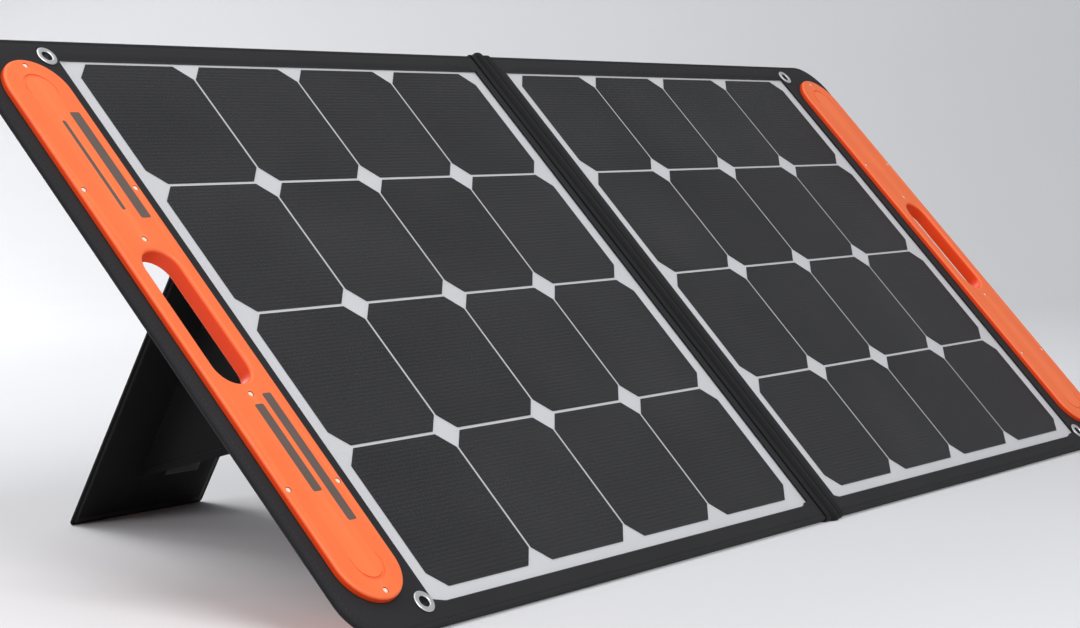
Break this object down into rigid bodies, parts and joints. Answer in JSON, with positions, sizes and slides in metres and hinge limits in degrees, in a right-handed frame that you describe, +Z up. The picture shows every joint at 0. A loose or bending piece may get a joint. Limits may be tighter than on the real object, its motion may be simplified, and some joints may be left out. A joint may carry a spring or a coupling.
{
  "type": "folding solar panel",
  "caption": "Two-half folding camping solar panel of black fabric, with dark cells, moulded carrying handles and folding fabric legs.",
  "frame": {"origin": "middle of the footprint on the ground, with the panel open and standing", "axes": "+X to the right seen from the lit side, +Y towards the legs at the back, +Z up"},
  "size_m": [1.232, 0.5024, 0.3881],
  "materials": {
    "fabric": "black coated polyester, fine plain weave, matt",
    "film": "clear embossed film, semi-matt",
    "cell": "near-black back-contact solar cell",
    "backsheet": "white backsheet, satin",
    "board": "stiff black board",
    "handle": "orange moulded elastomer, satin",
    "core": "natural nylon",
    "magnet": "nickel-plated disc magnet",
    "eyelet": "bright rolled metal eyelet",
    "hook_tape": "hook-and-loop tape",
    "lead": "black flexible cable jacket",
    "box": "black moulded housing, fine texture",
    "circuit": "green circuit board",
    "plated": "nickel-plated metal",
    "zip": "black nylon coil zip"
  },
  "bodies": {
    "left_panel": {"left_front_film": "film", "left_backsheet": "backsheet", "left_cell_string_1": "cell", "left_cell_string_2": "cell", "left_cell_string_3": "cell", "left_cell_string_4": "cell", "left_stiffener_board": "board", "left_cover_front": "fabric", "left_cover_back": "fabric", "left_edge_hem": "fabric", "left_handle_front": "handle", "left_handle_back": "handle", "left_handle_core": "core", "left_magnet_upper": "magnet", "left_magnet_lower": "magnet", "left_grommet_upper": "eyelet", "left_grommet_lower": "eyelet", "left_loop_patch": "hook_tape", "left_hinge_tape": "fabric", "left_stand_web": "fabric", "spine_front": "fabric", "spine_back": "fabric", "fold_lead": "lead"},
    "right_panel": {"right_front_film": "film", "right_backsheet": "backsheet", "right_cell_string_1": "cell", "right_cell_string_2": "cell", "right_cell_string_3": "cell", "right_cell_string_4": "cell", "right_stiffener_board": "board", "right_cover_front": "fabric", "right_cover_back": "fabric", "right_edge_hem": "fabric", "right_handle_front": "handle", "right_handle_back": "handle", "right_handle_core": "core", "right_magnet_upper": "magnet", "right_magnet_lower": "magnet", "right_grommet_upper": "eyelet", "right_grommet_lower": "eyelet", "right_loop_patch": "hook_tape", "right_hinge_tape": "fabric", "right_stand_web": "fabric", "cable_pouch": "fabric", "zip_chain": "zip", "output_box_base": "box", "output_box_lid": "box", "output_board": "circuit", "usb_a_socket": "plated", "usb_c_socket": "plated", "cable_gland": "lead"},
    "left_stand": {"left_stand_cover": "fabric", "left_stand_board": "board", "left_hook_patch": "hook_tape"},
    "right_stand": {"right_stand_cover": "fabric", "right_stand_board": "board", "right_hook_patch": "hook_tape"},
    "zip_slider": {"zip_slider": "plated"},
    "zip_pull": {"zip_pull": "plated"}
  },
  "joints": [
    {"name": "fold", "type": "hinge", "parent": "left_panel", "child": "right_panel", "pos_m": [0, -0.0832, 0.18892], "axis": [0, 0.6884, 0.7254], "range_deg": [-179.9, 0], "deforming": ["spine_front", "spine_back", "fold_lead"]},
    {"name": "left_stand_hinge", "type": "hinge", "parent": "left_panel", "child": "left_stand", "pos_m": [-0.302, 0.06879, 0.32729], "axis": [1, 0, 0], "range_deg": [-72.5, 0], "deforming": ["left_stand_web"]},
    {"name": "right_stand_hinge", "type": "hinge", "parent": "right_panel", "child": "right_stand", "pos_m": [0.302, 0.06879, 0.32729], "axis": [1, 0, 0], "range_deg": [-72.5, 0], "deforming": ["right_stand_web"]},
    {"name": "zip_slide", "type": "slide", "parent": "right_panel", "child": "zip_slider", "axis": [1, 0, 0], "range_m": [0, 0.12], "deforming": ["zip_chain"]},
    {"name": "zip_pull_swing", "type": "hinge", "parent": "zip_slider", "child": "zip_pull", "pos_m": [0.0545, -0.08492, 0.13678], "axis": [0, 0.6884, 0.7254], "range_deg": [-80, 80]}
  ]
}
